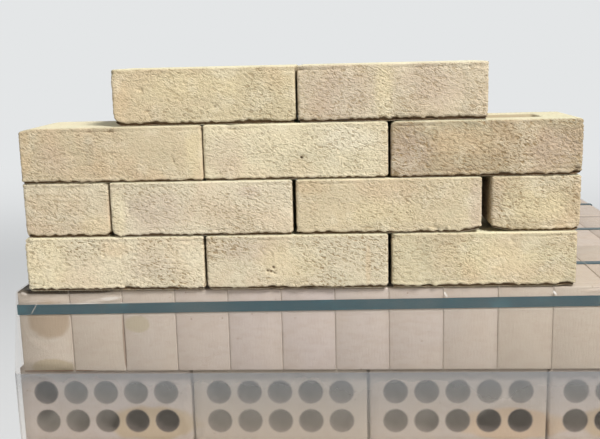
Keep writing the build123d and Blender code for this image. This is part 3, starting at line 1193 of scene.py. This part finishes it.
def haze_off_layers(place):
    """Where the film stands off the bricks, and how high up in that layer a point lies."""
    height = axis_of(place, "Z")
    from_middle = place.maths("ABSOLUTE", axis_of(place, "Y"))
    on_end = 1.0 - step(from_middle, pack_depth / 2 - 8 * MM, pack_depth / 2 - 5 * MM)
    layer = (height - pack_bottom) * (0.5 / layer_height) + on_end * 0.5
    inside = place.maths("FRACT", layer) * 2.0
    off = step(inside, 0.0, 0.12) * (1.0 - step(inside, 0.97, 1.0))
    on_top_layer = on_end * step(height, shoulder - 5 * MM, shoulder + 5 * MM)
    return off * (1.0 - on_top_layer), inside


def joint_ridges(place, streaks):
    """Thin pale lines where the film bridges the joints, but not where the flat strap holds it."""
    across = axis_of(place, "X")
    brick = (across - edge_layer_ends[0]) * (1 / face_pitch)
    from_joint = place.maths("PINGPONG", brick, 0.5)
    from_strap = place.maths("ABSOLUTE", axis_of(place, "Z") - across * strap_slope - strap_middle)
    bare = step(from_strap, 6.2 * MM, 7.5 * MM)
    return step(from_joint + streaks * 0.05, 0.06, 0.03) * bare


def film_finish():
    material, wire = new_material("film")
    space = pattern_space(wire)
    place = object_place(wire)
    front = share_in_front(place)
    streaks = cloud(pattern_space(wire, scale=(1.0, 1.0, 0.12)), 60.0, 3.0)
    off, inside = haze_off_layers(place)
    thicker = patches(space, 9.0, 0.40, 0.70, 3.0, 0.4)
    haze = off * (inside * 0.27 + 0.155) + thicker * 0.05 + streaks * 0.05 + 0.04
    clear = 0.0
    for *ellipse, lost in clear_blots:
        clear = blot(place, *ellipse, edge=0.25) * lost + clear
    haze = haze * (1.0 - front * wire.maths("MINIMUM", clear, most_clear))
    haze_and_highlights = joint_ridges(place, streaks) * (1.0 - off) * front * ridge_white
    # painted highlights: whiter, more opaque film along the listed slivers
    for *ellipse, share in highlight_slivers:
        haze_and_highlights = blot(place, *ellipse) * front * share + haze_and_highlights
    # painted shade over the film's own milky grey: towards the top of each set-back layer the film is
    # painted greyer and darker, under the layer that stands out above it
    tint = mix_colour(off * inside, colour(208, 190, 167), colour(157, 160, 162))
    tint = coated(tint, [(haze_and_highlights * 1.5, 226, 221, 214)])
    relief = bump(streaks + cloud(space, 90.0, 3.0) * 0.5, 0.10, 0.0006)
    others = {"Alpha": haze + haze_and_highlights, "Normal": relief, "Specular IOR Level": 0.4}
    return close_material(material, wire, tint, 0.36, others)


film = add_piece("film_sheet", film_sheet(), film_finish(), "film_hood", slot="film")
hood_area = sum(face.area for face in film.data.polygons)
print("film", round(hood_area, 3), "square metres,", len(film.data.polygons), "faces")

# %% [markdown]
# The pallet is rough-sawn softwood, nailed. Under the pack almost none of it shows, but its
# ends and edges do. Each board is a net with slightly eased edges, and its grain runs along
# its length, which the finish gets by stretching noise along that axis.

# %% Finish and shape of the pallet
wood_rounding = 1.5 * MM
wood_net = 25.0 * MM
wood_hollows = 0.5 * MM


def wood_finish(name, axis):
    """Sawn softwood with its grain along one axis."""
    material, wire = new_material(name)
    stretch = [1.0, 1.0, 1.0]
    stretch[axis] = 0.06
    grain_space = pattern_space(wire, shift=(0.3 * axis, 0.2, 0.1), scale=stretch)
    rings = cloud(grain_space, 45.0, 4.0, 1.6)
    fibres = cloud(grain_space, 420.0, 2.0)
    tone = coated(colour(196, 166, 122), [
        (step(rings, 0.38, 0.62), 160, 124, 84),
        (patches(pattern_space(wire), 6.0, 0.35, 0.70, 3.0) * 0.5, 158, 148, 132),
        (step(fibres, 0.5, 0.75) * 0.4, 120, 94, 66),
    ])
    relief = bump(fibres * 0.6 + rings, 0.4, 0.001)
    return close_material(material, wire, tone, 0.85, {"Normal": relief})


wood_along = [wood_finish("wood_along_x", 0), wood_finish("wood_along_y", 1)]


def pallet_piece(name, axis):
    """A sawn board or block in the place of its node."""
    low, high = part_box(name)
    shape = soft_block(high - low, wood_rounding, 2, (wood_net, wood_net, wood_net))
    bmesh.ops.translate(shape, verts=shape.verts[:], vec=(low + high) / 2)
    shape.normal_update()
    for vert in shape.verts:
        uneven = noise.noise(vert.co * 14 + Vector((axis, len(name), 0.0)))
        vert.co += vert.normal * min(uneven * wood_hollows, 0.0)
    return add_piece("sawn_" + name, shape, wood_along[axis], name, slot="pallet_wood")


for name in nodes:
    if name.startswith(("deck_board", "bottom_board", "block")):
        pallet_piece(name, 0)
    elif name.startswith("stringer_board"):
        pallet_piece(name, 1)

# %% [markdown]
# Two nails hold every board wherever it crosses a stringer board. Only their flat
# heads show, just proud of the wood. They are so alike and so small that they share one mesh.

# %% Nail heads
nail_radius = 3.5 * MM
nail_proud = 0.3 * MM
nail_spread = 18.0 * MM
nail_sides = 12


def steel_finish():
    material, wire = new_material("nail_steel")
    rust = patches(pattern_space(wire), 300.0, 0.42, 0.62, 3.0)
    tone = mix_colour(rust, colour(128, 128, 126), colour(112, 78, 56))
    return close_material(material, wire, tone, rust * 0.4 + 0.4, {"Metallic": 1.0 - rust})


def nail_heads():
    """Two heads at each crossing, on the upper face of a deck board and under a bottom board."""
    heads = bmesh.new()
    stringers = [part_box(name) for name in nodes if name.startswith("stringer_board")]
    for name in nodes:
        if not name.startswith(("deck_board", "bottom_board")):
            continue
        low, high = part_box(name)
        level = (high.z if name.startswith("deck_board") else low.z) + nail_proud / 2
        for left, right in stringers:
            for side in (-1, 1):
                x = (left.x + right.x) / 2 + side * nail_spread
                place = Matrix.Translation((x, (low.y + high.y) / 2 + side * (high.y - low.y) / 4, level))
                bmesh.ops.create_cone(heads, cap_ends=True, segments=nail_sides, radius1=nail_radius,
                                      radius2=nail_radius, depth=nail_proud, matrix=place)
    return heads


nails = add_piece("nail_heads", nail_heads(), steel_finish())
print("nail heads", len(nails.data.polygons), "faces")
